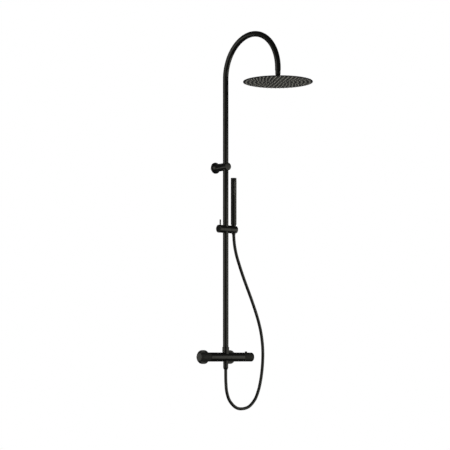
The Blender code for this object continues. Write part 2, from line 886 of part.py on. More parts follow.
def head_joint():
    at = (0.0, HEAD_Y)
    nipple = turned(
        "arm_nipple",
        [
            (0.0050, 1.2400), (0.0107, 1.2400), (0.0107, ARM_END_Z + GAP), (0.0092, ARM_END_Z + GAP),
            (0.0092, 1.2240), (0.0078, 1.2240), (0.0078, 1.2320), (0.0050, 1.2320),
        ],
        "Z", at, SMALL,
    )
    give(BRASS, nipple)
    seat = BALL_RADIUS + 0.0004
    nut = turned(
        "swivel_nut",
        [
            (0.0097, 1.2297), (0.0107, 1.2297), (0.01135, 1.2290), (0.01135, 1.2127),
            (0.0107, 1.2120), *arc(seat, BALL_Z, -38.7, 0.0, 5), (0.0097, BALL_Z + 0.001),
        ],
        "Z", at,
    )
    give(BLACK, nut)
    seal = ring("ball_seal", 0.0089, 0.0104, 1.2086, 1.2117, "Z", at)
    give(RUBBER, seal)
    return seal


def head():
    at = (0.0, HEAD_Y)
    stem = turned(
        "ball_stem",
        [
            (0.0035, 1.1915), *arc(BALL_RADIUS, BALL_Z, 67.6, -50.9, 12), (0.0058, 1.2000),
            (0.0085, 1.2000), (0.0085, 1.1915),
        ],
        "Z", at, SMALL,
    )
    give(BLACK, stem)
    shell = turned(
        "head_shell",
        [
            (0.0088, 1.1995), (0.0170, 1.1995), (0.0180, 1.1985), (0.0184, 1.1920), (0.0210, 1.1908),
            (0.1330, 1.1835), (0.1430, 1.1806), (HEAD_RADIUS - 0.0005, 1.1806), (HEAD_RADIUS, 1.1801),
            (HEAD_RADIUS, 1.1793), (0.1420, 1.1793), (0.1327, 1.1822), (0.0200, 1.1894),
            (0.0088, 1.1894),
        ],
        "Z", at, WIDE,
    )
    plate = turned(
        "face_plate",
        [
            (0.0, PLATE_Z), (HEAD_RADIUS - 0.0004, PLATE_Z), (HEAD_RADIUS, PLATE_Z + 0.0004),
            (HEAD_RADIUS, PLATE_Z + 0.0010), (0.0, PLATE_Z + 0.0010),
        ],
        "Z", at, WIDE,
    )
    give(BLACK, shell, plate)
    mat = rod("nozzle_mat", 0.1380, PLATE_Z + 0.0013, PLATE_Z + 0.0023, "Z", at, WIDE)
    give(SILICONE, mat)
    return stem, shell, plate, mat


seal = head_joint()
head_pieces = head()


# ---------------------------------------------------------------- finish and moving groups

settle(list(PARTS.objects))

gather("temperature_axis", (BUTTON_X, BAR_Y, 0.0), *temperature, thermostat_spindle, spring)
gather("button_axis", (BUTTON_X, BAR_Y, BAR_RADIUS), button)
gather("flow_axis", (-BUTTON_X, BAR_Y, 0.0), *flow, diverter_spindle)
gather("slider_axis", (0.0, BAR_Y, SLIDER_Z), *slider_pieces, hose_top)
gather("lock_axis", (LEVER_X, BAR_Y, SLIDER_Z), *lock_pieces)
gather("holder_axis", (HAND_X, BAR_Y, SLIDER_Z), holder_cup)
gather("hand_shower_axis", (HAND_X, BAR_Y, HAND_BOTTOM), *hand_pieces)
gather("swivel_axis", (0.0, HEAD_Y, BALL_Z), seal)
gather("head_axis", (0.0, HEAD_Y, BALL_Z), *head_pieces)
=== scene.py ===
"""Looks of the rainfall shower column: fine meshes, materials, floor, light and camera round its frame.

Everything is in metres in the frame's own axes: the wall is the plane Y = 0, the column stands in front
of it towards -Y, +X is to the right and +Z is up. Places and sizes are read from the CAD nodes' boxes.
"""

import json
import math

import bmesh
import bpy
from mathutils import Matrix, Vector


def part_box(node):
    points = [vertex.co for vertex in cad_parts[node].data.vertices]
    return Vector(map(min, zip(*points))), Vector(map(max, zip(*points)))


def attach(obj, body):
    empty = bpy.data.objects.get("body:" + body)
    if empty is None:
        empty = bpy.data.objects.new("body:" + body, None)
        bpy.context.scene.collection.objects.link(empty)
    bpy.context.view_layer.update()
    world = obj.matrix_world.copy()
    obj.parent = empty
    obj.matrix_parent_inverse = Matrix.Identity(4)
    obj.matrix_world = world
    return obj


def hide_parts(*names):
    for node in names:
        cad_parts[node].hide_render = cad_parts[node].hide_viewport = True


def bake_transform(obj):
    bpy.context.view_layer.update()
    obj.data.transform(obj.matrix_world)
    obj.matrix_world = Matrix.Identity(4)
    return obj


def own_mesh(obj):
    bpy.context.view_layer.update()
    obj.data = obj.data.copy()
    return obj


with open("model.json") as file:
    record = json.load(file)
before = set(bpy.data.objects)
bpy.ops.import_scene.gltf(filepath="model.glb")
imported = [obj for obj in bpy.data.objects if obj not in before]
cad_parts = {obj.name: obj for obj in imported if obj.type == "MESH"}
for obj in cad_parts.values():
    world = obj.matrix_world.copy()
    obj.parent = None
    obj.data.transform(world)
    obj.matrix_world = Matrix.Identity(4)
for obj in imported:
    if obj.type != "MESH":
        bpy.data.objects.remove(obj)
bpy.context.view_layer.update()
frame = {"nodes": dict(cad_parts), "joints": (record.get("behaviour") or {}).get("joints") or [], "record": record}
BODY_OF = {node: body for body, nodes in frame["record"]["behaviour"]["bodies"].items() for node in nodes}
SLOT_OF = {entry["node"]: entry["material_slot"] for entry in frame["record"]["subparts"]}

MM = 0.001
SIDES = 96  # of a turned piece
SMALL_SIDES = 48  # of a screw or a pin
BEND = 6  # steps in a rounded corner
REACH = 0.49  # the most of an edge that a rounded corner takes
MERGE = 0.002 * MM  # points closer than this are one
SEAM = 0.05 * MM  # left between two pieces that are screwed together
CUT_SHIFT = 0.25  # of a side, for round cutters
ADD_SHIFT = 0.5  # of a side, for round shapes that are added
SHARP = 32  # degrees between two faces from which their edge shades sharp
SOFT_SHARP = 50  # the same for the nozzles
AXES = {"X": (1, 2), "Y": (0, 2), "Z": (0, 1)}  # the two coordinates across each axis


# ---------------------------------------------------------------- places read from the frame


def middle(node):
    """The middle of a node's box."""
    low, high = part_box(node)
    return (low + high) / 2


def across(node, axis):
    """The centre and the radius of a turned node, seen along its axis."""
    low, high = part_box(node)
    i, j = AXES[axis]
    return ((low[i] + high[i]) / 2, (low[j] + high[j]) / 2), (high[i] - low[i]) / 2


def ends(node, axis):
    """A node's two ends along an axis."""
    low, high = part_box(node)
    k = "XYZ".index(axis)
    return low[k], high[k]


RISER_AT, TUBE_RADIUS = across("riser_pipe", "Z")
BAR_AT, BAR_RADIUS = across("flow_handle", "X")
COLUMN = Vector((*RISER_AT, BAR_AT[1]))
SLIDER_AT = across("lock_knob", "X")[0]
HAND_AT, HAND_RADIUS = across("hand_cap", "Z")
HEAD_AT, HEAD_RADIUS = across("head_shell", "Z")


# ---------------------------------------------------------------- camera

VIEW_AZIMUTH = math.radians(39.915)
VIEW_PITCH = math.radians(4.903)
VIEW_DISTANCE = 6.8361
VIEW_SIDE = -0.0031
VIEW_HEIGHT = -0.0021
VIEW_LENS = 123.585


def add_camera():
    """In front of the column and to its left, a little below the bar, looking slightly up."""
    lens = bpy.data.cameras.new("camera")
    lens.lens = VIEW_LENS
    camera = bpy.data.objects.new("camera", lens)
    bpy.context.scene.collection.objects.link(camera)
    ahead = Vector((math.sin(VIEW_AZIMUTH), math.cos(VIEW_AZIMUTH), 0.0))
    right = Vector((ahead.y, -ahead.x, 0.0))
    camera.location = COLUMN - ahead * VIEW_DISTANCE + right * VIEW_SIDE + Vector((0, 0, VIEW_HEIGHT))
    camera.rotation_euler = (math.radians(90) + VIEW_PITCH, 0.0, -VIEW_AZIMUTH)
    bpy.context.scene.camera = camera


add_camera()


# ---------------------------------------------------------------- materials


class Nodes:
    """A short way to build a material's node tree."""

    def __init__(self, name):
        self.material = bpy.data.materials.new(name)
        self.material.use_nodes = True
        self.tree = self.material.node_tree
        self.shader = self.tree.nodes["Principled BSDF"]

    def add(self, kind, **values):
        """A node with some of its inputs or settings filled in."""
        node = self.tree.nodes.new(kind)
        for key, value in values.items():
            if key in node.inputs:
                node.inputs[key].default_value = value
            else:
                setattr(node, key, value)
        return node

    def join(self, start, end):
        self.tree.links.new(start, end)

    def place(self):
        return self.add("ShaderNodeTexCoord").outputs["Object"]

    def noise(self, scale, detail=2.0, where=None):
        node = self.add("ShaderNodeTexNoise", Scale=scale, Detail=detail, Roughness=0.55)
        self.join(where or self.place(), node.inputs["Vector"])
        return node.outputs["Fac"]

    def spread(self, value, low, high):
        """A noise value, mostly 0.35 to 0.65, spread from low to high."""
        node = self.add("ShaderNodeMapRange")
        for key, number in (("From Min", 0.35), ("From Max", 0.65), ("To Min", low), ("To Max", high)):
            node.inputs[key].default_value = number
        self.join(value, node.inputs["Value"])
        return node.outputs["Result"]

    def colours(self, value, low, high):
        """A colour between two, by a noise value."""
        node = self.add("ShaderNodeValToRGB")
        ramp = node.color_ramp.elements
        ramp[0].position, ramp[0].color = 0.35, (*low, 1.0)
        ramp[1].position, ramp[1].color = 0.65, (*high, 1.0)
        self.join(value, node.inputs["Fac"])
        self.join(node.outputs["Color"], self.shader.inputs["Base Color"])

    def bump(self, height, strength, distance):
        node = self.add("ShaderNodeBump", Strength=strength, Distance=distance)
        self.join(height, node.inputs["Height"])
        self.join(node.outputs["Normal"], self.shader.inputs["Normal"])


def coated_black():
    """Satin black coating: faint cloudiness in colour and gloss, and a fine orange-peel surface."""
    made = Nodes("satin_black_coating")
    cloud = made.noise(14.0, 3.0)
    made.colours(cloud, (0.0065, 0.0065, 0.0060), (0.0100, 0.0100, 0.0092))
    made.join(made.spread(made.noise(90.0, 4.0), 0.17, 0.23), made.shader.inputs["Roughness"])
    made.bump(made.noise(1400.0, 2.0), 0.10, 0.00006)
    made.shader.inputs["IOR"].default_value = 1.5
    return made.material


def grip_black():
    """Matt black with a fine blasted grain, on the two handles."""
    made = Nodes("matt_black_grip")
    grain = made.noise(2600.0, 3.0)
    made.colours(grain, (0.0135, 0.0135, 0.0127), (0.0225, 0.0225, 0.0212))
    made.join(made.spread(made.noise(120.0, 3.0), 0.66, 0.78), made.shader.inputs["Roughness"])
    made.bump(grain, 0.45, 0.00012)
    made.shader.inputs["IOR"].default_value = 1.5
    return made.material


def raw_brass():
    """Turned brass with fine tool marks and a little tarnish."""
    made = Nodes("raw_brass")
    made.colours(made.noise(60.0, 4.0), (0.50, 0.34, 0.12), (0.66, 0.49, 0.21))
    made.join(made.spread(made.noise(300.0, 3.0), 0.26, 0.42), made.shader.inputs["Roughness"])
    made.bump(made.noise(1800.0, 2.0), 0.15, 0.00005)
    made.shader.inputs["Metallic"].default_value = 1.0
    return made.material


def stainless_steel():
    """Bare steel of the screws and the button's spring."""
    made = Nodes("stainless_steel")
    made.colours(made.noise(80.0, 3.0), (0.48, 0.48, 0.46), (0.62, 0.62, 0.60))
    made.join(made.spread(made.noise(400.0, 3.0), 0.24, 0.38), made.shader.inputs["Roughness"])
    made.bump(made.noise(2200.0, 2.0), 0.12, 0.00004)
    made.shader.inputs["Metallic"].default_value = 1.0
    return made.material


def black_plastic():
    """Moulded plastic with a fine spark-eroded texture."""
    made = Nodes("black_plastic")
    made.colours(made.noise(50.0, 2.0), (0.0140, 0.0140, 0.0140), (0.0190, 0.0190, 0.0190))
    made.join(made.spread(made.noise(200.0, 2.0), 0.42, 0.52), made.shader.inputs["Roughness"])
    made.bump(made.noise(3000.0, 2.0), 0.25, 0.00006)
    return made.material


def black_rubber():
    """Dull rubber of the washers and seals."""
    made = Nodes("black_rubber")
    made.colours(made.noise(70.0, 3.0), (0.0110, 0.0110, 0.0110), (0.0180, 0.0180, 0.0175))
    made.join(made.spread(made.noise(150.0, 3.0), 0.72, 0.86), made.shader.inputs["Roughness"])
    made.bump(made.noise(2500.0, 3.0), 0.30, 0.00006)
    return made.material


def grey_silicone():
    """Soft grey silicone of the nozzles."""
    made = Nodes("grey_silicone")
    made.colours(made.noise(220.0, 3.0), (0.500, 0.494, 0.480), (0.600, 0.592, 0.576))
    made.join(made.spread(made.noise(500.0, 2.0), 0.50, 0.62), made.shader.inputs["Roughness"])
    made.bump(made.noise(3500.0, 2.0), 0.20, 0.00004)
    made.shader.inputs["Sheen Weight"].default_value = 0.15
    return made.material


def hose_skin():
    """Smooth black hose skin, a little wavy over the braid that it covers."""
    made = Nodes("black_hose")
    made.colours(made.noise(30.0, 3.0), (0.0095, 0.0095, 0.0092), (0.0140, 0.0140, 0.0135))
    made.join(made.spread(made.noise(110.0, 3.0), 0.30, 0.38), made.shader.inputs["Roughness"])
    made.bump(made.noise(900.0, 2.0), 0.20, 0.00008)
    return made.material


FINISH = {
    "black_coating": coated_black(),
    "black_grip": grip_black(),
    "brass": raw_brass(),
    "steel": stainless_steel(),
    "black_plastic": black_plastic(),
    "rubber": black_rubber(),
    "silicone": grey_silicone(),
    "hose": hose_skin(),
}


# ---------------------------------------------------------------- mesh helpers


def mesh_object(name, form):
    """A new object in the scene with the mesh that was made in `form`, which it frees."""
    mesh = bpy.data.meshes.new(name)
    form.to_mesh(mesh)
    form.free()
    obj = bpy.data.objects.new(name, mesh)
    bpy.context.scene.collection.objects.link(obj)
    return obj


def rounded(profile):
    """The corners as points, with an arc at each corner that has a third value, its radius."""
    points = []
    count = len(profile)
    for i, corner in enumerate(profile):
        here, before, after = (
            Vector((p[0], 0.0, p[1])) for p in (corner, profile[i - 1], profile[(i + 1) % count])
        )
        if len(corner) < 3:
            points.append(here)
            continue
        back, on = before - here, after - here
        half = back.angle(on) / 2
        reach = min(corner[2] / math.tan(half), REACH * back.length, REACH * on.length)
        centre = here + (back.normalized() + on.normalized()).normalized() * reach / math.cos(half)
        start = here + back.normalized() * reach - centre
        end = here + on.normalized() * reach - centre
        points += [centre + start.slerp(end, k / BEND) * start.length for k in range(BEND + 1)]
    return points


def to_axis(axis, at):
    """Takes a shape round local +Z at the origin to the line along an axis through `at`."""
    i, j = AXES[axis]
    shift = Vector((0.0, 0.0, 0.0))
    shift[i], shift[j] = at
    turn = {
        "X": Matrix.Rotation(math.radians(90), 4, "Y"),
        "Y": Matrix.Rotation(math.radians(-90), 4, "X"),
        "Z": Matrix.Identity(4),
    }[axis]
    return Matrix.Translation(shift) @ turn


def turned(name, profile, axis, at, sides=SIDES):
    """A turned piece. Corners are (radius, height, rounding), closed unless it starts on the axis."""
    form = bmesh.new()
    rim = [form.verts.new(p) for p in rounded(profile)]
    edges = [form.edges.new(pair) for pair in zip(rim, rim[1:])]
    if profile[0][0] > 0.0:
        edges.append(form.edges.new((rim[-1], rim[0])))
    bmesh.ops.spin(
        form, geom=rim + edges, cent=(0, 0, 0), axis=(0, 0, 1), angle=2 * math.pi, steps=sides, use_merge=True
    )
    bmesh.ops.remove_doubles(form, verts=form.verts, dist=MERGE)
    bmesh.ops.recalc_face_normals(form, faces=form.faces)
    form.transform(to_axis(axis, at))
    return mesh_object(name, form)


def disc_profile(radius, low, high, edge):
    """A solid disc or rod with rounded rims."""
    return [(0.0, low), (radius, low, edge), (radius, high, edge), (0.0, high)]


def pipe_profile(inner, outer, low, high, edge):
    """A ring or a tube with rounded rims."""
    return [(inner, low, edge), (outer, low, edge), (outer, high, edge), (inner, high, edge)]


def cuboid(name, low, high):
    form = bmesh.new()
    size = [b - a for a, b in zip(low, high)]
    centre = [(a + b) / 2 for a, b in zip(low, high)]
    bmesh.ops.create_cube(form, size=1.0, matrix=Matrix.Translation(centre) @ Matrix.Diagonal((*size, 1.0)))
    return mesh_object(name, form)


def combine(obj, other, operation):
    """Applies one exact Boolean to obj and removes the other shape."""
    step = obj.modifiers.new(operation, "BOOLEAN")
    step.operation = operation
    step.object = other
    step.solver = "EXACT"
    graph = bpy.context.evaluated_depsgraph_get()
    mesh = bpy.data.meshes.new_from_object(obj.evaluated_get(graph))
    obj.modifiers.clear()
    obj.data = mesh
    bpy.data.objects.remove(other, do_unlink=True)


def cut(obj, *cutters):
    for cutter in cutters:
        combine(obj, cutter, "DIFFERENCE")


def tool(profile, axis, at, shift):
    """A turned shape for a Boolean, set a share of a side round its axis, so that no edges coincide."""
    shape = turned("tool", profile, axis, at)
    place = to_axis(axis, at)
    step = 2 * math.pi / SIDES
    shape.data.transform(place @ Matrix.Rotation(shift * step, 4, "Z") @ place.inverted())
    return shape


def bore(radius, low, high, axis, at):
    """A round cutter."""
    return tool([(0.0, low), (radius, low), (radius, high), (0.0, high)], axis, at, CUT_SHIFT)


def loft(name, rings, closed):
    """Joins rings of points by quads, in order. An open run gets a face over each end."""
    form = bmesh.new()
    rows = [[form.verts.new(p) for p in ring] for ring in rings]
    following = rows[1:] + rows[:1] if closed else rows[1:]
    for row, after in zip(rows, following):
        for k in range(len(row)):
            form.faces.new((row[k - 1], row[k], after[k], after[k - 1]))
    if not closed:
        form.faces.new(rows[0])
        form.faces.new(rows[-1])
    bmesh.ops.recalc_face_normals(form, faces=form.faces)
    return mesh_object(name, form)


def circles(line, flat, radius, sides):
    """A ring of points round each point of a line that lies in a plane with the normal `flat`."""
    flat = Vector(flat)
    rings = []
    for i, point in enumerate(line):
        way = (line[min(i + 1, len(line) - 1)] - line[max(i - 1, 0)]).normalized()
        side = way.cross(flat)
        angles = [2 * math.pi * k / sides for k in range(sides)]
        rings.append([point + (flat * math.cos(a) + side * math.sin(a)) * radius for a in angles])
    return rings


def finish(obj, node, sharp=SHARP):
    """Gives a fine piece its material and its smooth shading, in place of its CAD node, which it hides."""
    obj.data.materials.clear()
    obj.data.materials.append(FINISH[SLOT_OF[node]])
    obj.data.shade_smooth()
    obj.data.set_sharp_from_angle(angle=math.radians(sharp))
    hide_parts(node)
    return obj


def show(obj, node, sharp=SHARP):
    """A fine piece that stands for a CAD node and rides on its body."""
    finish(obj, node, sharp)
    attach(obj, BODY_OF[node])
    return obj


# ---------------------------------------------------------------- hose

HOSE_RADIUS = 0.0069
HOSE_SIDES = 32
HOSE_STEP = 0.0025  # between two rings of the tube
HOSE_SPAN = 16  # steps of the curve between two points of the route
HOSE_START = -0.0389  # height of its end in the lower nut
HOSE_END = 0.5705  # height of its end in the upper nut
HOSE_SPLIT = 0.455  # height where the lower stretch ends and the upper one starts
HOSE_TURN = 0.150  # height on its right side up to which a ring's share in the slider's move is a half
HOSE_STRAIGHT = 0.020  # length under the lower nut that stays still
HOSE_EASE = 1.6  # how quickly the share in the slider's move grows on the left side of the loop

# The same route as in the CAD, in the plane of the bar: (X, Z) from the valve round to the hand shower
HOSE_ROUTE = (
    (0.0000, HOSE_START),
    (0.0000, -0.072),
    (0.0010, -0.112),
    (0.0067, -0.156),
    (0.0265, -0.197),
    (0.0700, -0.2265),
    (0.1270, -0.223),
    (0.1675, -0.192),
    (0.1900, -0.1515),
    (0.2035, -0.108),
    (0.2120, -0.064),
    (0.2168, -0.019),
    (0.2178, 0.0255),
    (0.2140, 0.070),
    (0.2055, 0.115),
    (0.1925, 0.158),
    (0.1757, 0.201),
    (0.1570, 0.243),
    (0.1370, 0.285),
    (0.1165, 0.3265),
    (0.0970, 0.368),
    (0.0790, 0.410),
    (0.0627, 0.452),
    (0.0515, 0.4955),
    (0.0466, 0.540),
    (0.0463, HOSE_END),
)


def smooth_line(points, per_span):
    """Points on a Catmull-Rom curve that runs through the given ones."""
    places = [2 * points[0] - points[1], *points, 2 * points[-1] - points[-2]]
    line = []
    for a, b, c, d in zip(places, places[1:], places[2:], places[3:]):
        for i in range(per_span):
            t = i / per_span
            bend = (2 * a - 5 * b + 4 * c - d) * t**2 + (3 * b - a - 3 * c + d) * t**3
            line.append(0.5 * (2 * b + (c - a) * t + bend))
    line.append(places[-2])
    return line


def distances(line):
    """How far along a line each of its points is."""
    run = [0.0]
    for a, b in zip(line, line[1:]):
        run.append(run[-1] + (b - a).length)
    return run


def evenly(line, step):
    """The line again, with points about `step` apart."""
    run = distances(line)
    count = math.ceil(run[-1] / step)
    made, i = [], 0
    for k in range(count + 1):
        target = run[-1] * k / count
        while i < len(run) - 2 and run[i + 1] < target:
            i += 1
        made.append(line[i].lerp(line[i + 1], (target - run[i]) / (run[i + 1] - run[i])))
    return made


def eased(share):
    """0 to 1 again, with a level start and end."""
    share = min(1.0, max(0.0, share))
    return share * share * (3 - 2 * share)


def lower_hose(line):
    """From the valve to just under the slider. It works out how far each ring would follow the slider, by half up
    to HOSE_TURN on its right side and then more and more, one share for a whole ring; these shares are not used."""
    hose = loft("hose_lower", circles(line, (0, 1, 0), HOSE_RADIUS, HOSE_SIDES), closed=False)
    finish(hose, "hose")
    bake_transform(hose)
    run = distances(line)
    bottom = min(range(len(line)), key=lambda i: line[i].z)
    turn = next(i for i in range(bottom, len(line)) if line[i].z > HOSE_TURN)
    weights = []
    for along in run:
        left = min(1.0, max(0.0, (along - HOSE_STRAIGHT) / (run[bottom] - HOSE_STRAIGHT)))
        fall = 1.0 - (1.0 - left) ** HOSE_EASE
        rise = eased((along - run[turn]) / (run[-1] - run[turn]))
        weights += [(fall + rise) / 2] * HOSE_SIDES


def upper_hose(line):
    """From under the slider into the hand shower's nut."""
    hose = loft("hose_upper", circles(line, (0, 1, 0), HOSE_RADIUS, HOSE_SIDES), closed=False)
    finish(hose, "hose_top")
    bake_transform(hose)


def build_hose():
    """One line for the whole hose, cut in two stretches that share a ring."""
    route = [Vector((x, RISER_AT[1], z)) for x, z in HOSE_ROUTE]
    whole = evenly(smooth_line(route, HOSE_SPAN), HOSE_STEP)
    split = next(i for i, p in enumerate(whole) if p.z > HOSE_SPLIT)
    lower_hose(whole[: split + 1])
    upper_hose(whole[split:])


build_hose()


# ---------------------------------------------------------------- wall connection

WATERWAY = 6.5 * MM  # radius of the way in through each union


def ridged(radius, depth, low, high, pitch):
    """Profile corners of a threaded stretch: crests at `radius` and roots `depth` below them."""
    count = int((high - low) / pitch)
    crest_start, crest_end = 0.45 * pitch, 0.60 * pitch
    corners = []
    for i in range(count):
        start = low + i * pitch
        corners += [(radius - depth, start), (radius, start + crest_start), (radius, start + crest_end)]
    corners.append((radius - depth, low + count * pitch))
    return corners


def escutcheon(side):
    """A round cup, open towards the wall, with a hole for the union in its front."""
    node = "escutcheon_" + side
    at, radius = across(node, "Y")
    front, back = ends(node, "Y")
    hole = 13.5 * MM
    inside, floor = radius - 2.5 * MM, front + 2.0 * MM
    profile = [
        (hole, front, 0.3 * MM), (radius, front, 1.1 * MM), (radius, back, 0.3 * MM),
        (inside, back), (inside, floor, 1.0 * MM), (hole, floor),
    ]
    show(turned(node + "_fine", profile, "Y", at), node)


def union_nut(side):
    """A turned ring with its rims bevelled, cut to a hexagon."""
    node = "union_nut_" + side
    low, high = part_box(node)
    at = middle(node).xz
    across_flats = 30 * MM
    corner = across_flats / 2 / math.cos(math.pi / 6)
    flat, rim, chamfer = 14.6 * MM, corner + 0.2 * MM, 2.0 * MM
    thread, lip, seat = 13.4 * MM, 9.9 * MM, low.y + 4.6 * MM
    ring = [
        (lip, low.y), (flat, low.y, 0.5 * MM), (rim, low.y + chamfer), (rim, high.y - chamfer),
        (flat, high.y, 0.5 * MM), (thread, high.y), (thread, seat), (lip, seat),
    ]
    plain = tool(ring, "Y", at, ADD_SHIFT)
    form = bmesh.new()
    bmesh.ops.create_cone(
        form, cap_ends=True, segments=6, radius1=corner, radius2=corner, depth=2 * (high.y - low.y),
        matrix=to_axis("Y", at) @ Matrix.Translation((0, 0, (low.y + high.y) / 2)),
    )
    nut = mesh_object(node + "_fine", form)
    combine(nut, plain, "INTERSECT")
    show(nut, node)


def wall_union(side):
    """The stub that screws into the wall, with its shoulder and its two threads."""
    node = "wall_union_" + side
    at, shoulder = across(node, "Y")
    front, back = ends(node, "Y")
    inner, wall_thread, nut_thread = WATERWAY, 10.4 * MM, 13.0 * MM
    pitch, depth = 1.814 * MM, 1.0 * MM
    thread_end, neck_end, thread_start = -23.5 * MM, -16.0 * MM, -3.0 * MM
    collar_front, collar_back = -13.5 * MM, -4.0 * MM
    profile = [
        (inner, front, 0.3 * MM), (nut_thread - depth, front),
        *ridged(nut_thread, depth, front + 0.5 * MM, thread_end, pitch),
        (nut_thread - depth, neck_end), (shoulder, collar_front, 0.4 * MM), (shoulder, collar_back, 0.4 * MM),
        (wall_thread - depth, collar_back), *ridged(wall_thread, depth, thread_start, back - 0.8 * MM, pitch),
        (inner, back, 0.3 * MM),
    ]
    show(turned(node + "_fine", profile, "Y", at), node)


for side in ("left", "right"):
    escutcheon(side)
    union_nut(side)
    wall_union(side)


# ---------------------------------------------------------------- bar valve


def bar_valve():
    """The bar with its two inlet tails, the outlet to the riser and the boss for the hose."""
    low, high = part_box("valve_body")
    body = turned("valve_body_fine", disc_profile(BAR_RADIUS, low.x, high.x, 0.6 * MM), "X", BAR_AT)
    past = 2 * MM
    tail, collar, back = 9.5 * MM, 12.0 * MM, high.y
    collar_front, inside = back - 2.8 * MM, BAR_AT[0] + 8 * MM
    for union in ("wall_union_left", "wall_union_right"):
        at = middle(union).xz
        profile = [
            (0.0, back), (collar, back, 0.3 * MM), (collar, collar_front, 0.3 * MM),
            (tail, collar_front), (tail, inside), (0.0, inside),
        ]
        combine(body, tool(profile, "Y", at, ADD_SHIFT), "UNION")
        cut(body, bore(WATERWAY, inside - 1 * MM, back + past, "Y", at))
    thread, neck, seat = 10.8 * MM, 14.5 * MM, ends("riser_nut", "Z")[0] - 0.3 * MM
    root = 10 * MM
    outlet = [
        (0.0, high.z), (thread, high.z, 0.5 * MM), (thread, seat), (neck, seat, 0.4 * MM),
        (neck, root), (0.0, root),
    ]
    stub = 11.5 * MM
    boss = [(0.0, low.z), (stub, low.z, 0.5 * MM), (stub, -root), (0.0, -root)]
    combine(body, tool(outlet, "Z", RISER_AT, ADD_SHIFT), "UNION")
    combine(body, tool(boss, "Z", RISER_AT, ADD_SHIFT), "UNION")
    chamber, riser_way, hose_way, chamber_wall = 16.2 * MM, 7.0 * MM, 9.8 * MM, 8 * MM
    cut(
        body,
        bore(chamber, low.x - 5 * MM, high.x + 5 * MM, "X", BAR_AT),
        bore(riser_way, chamber_wall, high.z + past, "Z", RISER_AT),
        bore(hose_way, low.z - past, -chamber_wall, "Z", RISER_AT),
    )
    show(body, "valve_body")


def handle(node, cap, side):
    """A cup-shaped grip with a hub on the spindle, and the cap over its screw."""
    low, high = ends(node, "X")
    start, end = (low, high) if side > 0 else (-high, -low)
    wall, hub, spindle, screw = 17.2 * MM, 9.0 * MM, 4.9 * MM, 2.2 * MM
    seat, screw_end, web, hub_end = end - 6 * MM, end - 11.5 * MM, end - 15 * MM, end - 38 * MM
    outline = [
        (wall, start, 0.2 * MM), (BAR_RADIUS, start, 0.6 * MM), (BAR_RADIUS, end, 1.1 * MM),
        (wall, end, 0.2 * MM), (wall, seat), (screw, seat), (screw, screw_end),
        (spindle, screw_end), (spindle, hub_end), (hub, hub_end, 0.3 * MM),
        (hub, web, 0.6 * MM), (wall, web, 0.6 * MM),
    ]
    grip = turned(node + "_fine", [(r, side * h, *rest) for r, h, *rest in outline], "X", BAR_AT)
    cap_radius = across(cap, "X")[1]
    cover = turned(cap + "_fine", disc_profile(cap_radius, *ends(cap, "X"), 0.45 * MM), "X", BAR_AT)
    show(cover, cap)
    return grip


def safety_button():
    """The round stop button on a flange that keeps it in the handle. Gives its place for its hole."""
    at, flange = across("safety_button", "Z")
    low, high = ends("safety_button", "Z")
    stem, flange_top = 4.9 * MM, low + 1.5 * MM
    profile = [
        (0.0, high), (stem, high, 0.9 * MM), (stem, flange_top), (flange, flange_top, 0.3 * MM),
        (flange, low, 0.3 * MM), (0.0, low),
    ]
    show(turned("safety_button_fine", profile, "Z", at), "safety_button")
    return at


def button_spring(at):
    """A small helix under the button."""
    low, high = ends("button_spring", "Z")
    wire, wire_sides = 0.4 * MM, 12
    coil = across("button_spring", "Z")[1] - wire
    turns, per_turn = 3, 24
    line = []
    for i in range(turns * per_turn + 1):
        angle = 2 * math.pi * i / per_turn
        height = low + wire + (high - low - 2 * wire) * i / (turns * per_turn)
        line.append(Vector((at[0] + coil * math.cos(angle), at[1] + coil * math.sin(angle), height)))
    rings = circles(line, (0, 0, 1), wire, wire_sides)
    spring = show(loft("button_spring_fine", rings, closed=False), "button_spring")
    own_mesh(spring)


def handles():
    """The two grips, with the hole in the right one that the safety button moves in."""
    show(handle("flow_handle", "flow_cap", -1), "flow_handle")
    grip = handle("temperature_handle", "temperature_cap", 1)
    button_at = safety_button()
    hole, under, over = 5.3 * MM, 13 * MM, 23 * MM
    cut(grip, bore(hole, under, over, "Z", button_at))
    show(grip, "temperature_handle")
    button_spring(button_at)


bar_valve()
handles()


# ---------------------------------------------------------------- riser, gooseneck and wall bracket

TUBE_WALL = 1.2 * MM
TUBE_INNER = TUBE_RADIUS - TUBE_WALL
ARM_END = ends("swivel_nut", "Z")[1] + 0.3 * MM


def riser():
    """The nut with its groove over the bar, and the straight pipe in it."""
    radius = across("riser_nut", "Z")[1]
    low, high = ends("riser_nut", "Z")
    inner = 12.8 * MM
    groove, groove_low, groove_high = radius - 0.4 * MM, high - 5.0 * MM, high - 4.3 * MM
    nut = [
        (inner, low), (radius, low, 0.5 * MM), (radius, groove_low, 0.15 * MM), (groove, groove_low),
        (groove, groove_high), (radius, groove_high, 0.15 * MM), (radius, high, 0.9 * MM),
        (inner, high, 0.2 * MM),
    ]
    show(turned("riser_nut_fine", nut, "Z", RISER_AT), "riser_nut")
    pipe = pipe_profile(TUBE_INNER, TUBE_RADIUS, *ends("riser_pipe", "Z"), 0.2 * MM)
    show(turned("riser_pipe_fine", pipe, "Z", RISER_AT), "riser_pipe")


